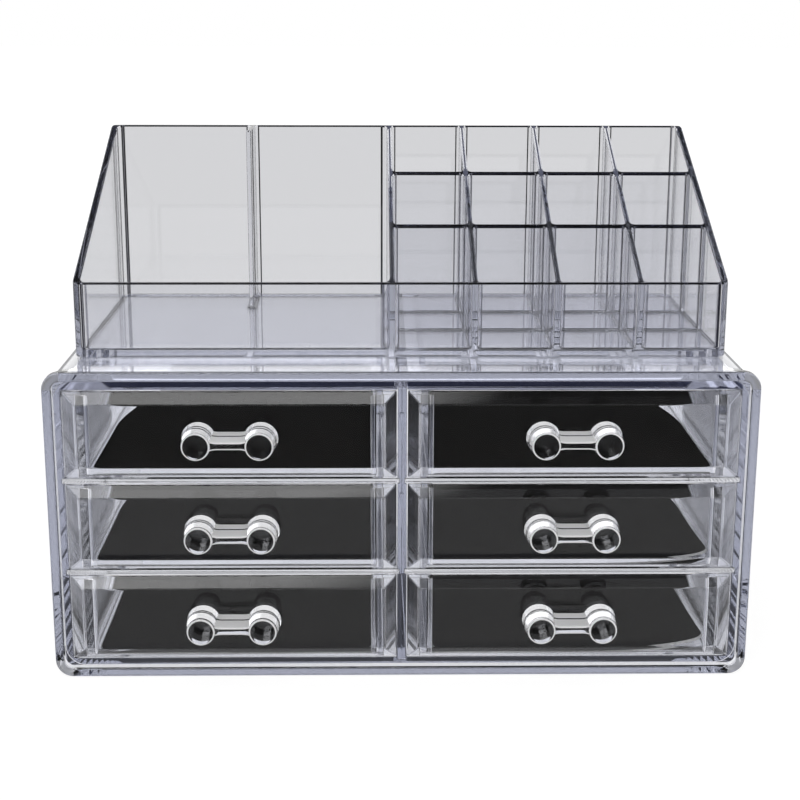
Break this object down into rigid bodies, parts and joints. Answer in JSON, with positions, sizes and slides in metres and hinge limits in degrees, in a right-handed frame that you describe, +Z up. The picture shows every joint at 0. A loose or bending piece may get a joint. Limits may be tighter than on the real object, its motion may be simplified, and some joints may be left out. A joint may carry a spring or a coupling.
{
  "type": "makeup organizer",
  "caption": "Clear plastic cosmetics organizer: drawers with bevelled fronts, bow-tie handles and black pads, under a sloping open tray with divided cells.",
  "frame": {"origin": "centre of the case's footprint, on the surface that it stands on", "axes": "+X to the right along the front, +Y from the front to the back, +Z up"},
  "size_m": [0.24, 0.152, 0.1796],
  "materials": {
    "clear_case": "clear moulded plastic with a faint lavender tint at thick edges",
    "clear_drawer": "clear polished plastic",
    "clear_handle": "clear polished plastic",
    "clear_tray": "clear polished plastic",
    "black_pad": "thin black liner"
  },
  "bodies": {
    "case": {"case_shell": "clear_case", "bay_frame": "clear_case", "centre_wall": "clear_case", "shelf_left_lower": "clear_case", "shelf_left_upper": "clear_case", "shelf_right_lower": "clear_case", "shelf_right_upper": "clear_case"},
    "tray_unit": {"tray": "clear_tray"},
    "left_bottom_drawer": {"drawer_left_bottom": "clear_drawer", "handle_left_bottom": "clear_handle", "pad_left_bottom": "black_pad"},
    "left_middle_drawer": {"drawer_left_middle": "clear_drawer", "handle_left_middle": "clear_handle", "pad_left_middle": "black_pad"},
    "left_top_drawer": {"drawer_left_top": "clear_drawer", "handle_left_top": "clear_handle", "pad_left_top": "black_pad"},
    "right_bottom_drawer": {"drawer_right_bottom": "clear_drawer", "handle_right_bottom": "clear_handle", "pad_right_bottom": "black_pad"},
    "right_middle_drawer": {"drawer_right_middle": "clear_drawer", "handle_right_middle": "clear_handle", "pad_right_middle": "black_pad"},
    "right_top_drawer": {"drawer_right_top": "clear_drawer", "handle_right_top": "clear_handle", "pad_right_top": "black_pad"}
  },
  "joints": [
    {"name": "left_bottom_drawer_slide", "type": "slide", "parent": "case", "child": "left_bottom_drawer", "axis": [0, -1, 0], "range_m": [0, 0.11]},
    {"name": "left_middle_drawer_slide", "type": "slide", "parent": "case", "child": "left_middle_drawer", "axis": [0, -1, 0], "range_m": [0, 0.11]},
    {"name": "left_top_drawer_slide", "type": "slide", "parent": "case", "child": "left_top_drawer", "axis": [0, -1, 0], "range_m": [0, 0.11]},
    {"name": "right_bottom_drawer_slide", "type": "slide", "parent": "case", "child": "right_bottom_drawer", "axis": [0, -1, 0], "range_m": [0, 0.11]},
    {"name": "right_middle_drawer_slide", "type": "slide", "parent": "case", "child": "right_middle_drawer", "axis": [0, -1, 0], "range_m": [0, 0.11]},
    {"name": "right_top_drawer_slide", "type": "slide", "parent": "case", "child": "right_top_drawer", "axis": [0, -1, 0], "range_m": [0, 0.11]},
    {"name": "tray_lift", "type": "slide", "parent": "case", "child": "tray_unit", "axis": [0, 0, 1], "range_m": [0, 0.1]}
  ]
}
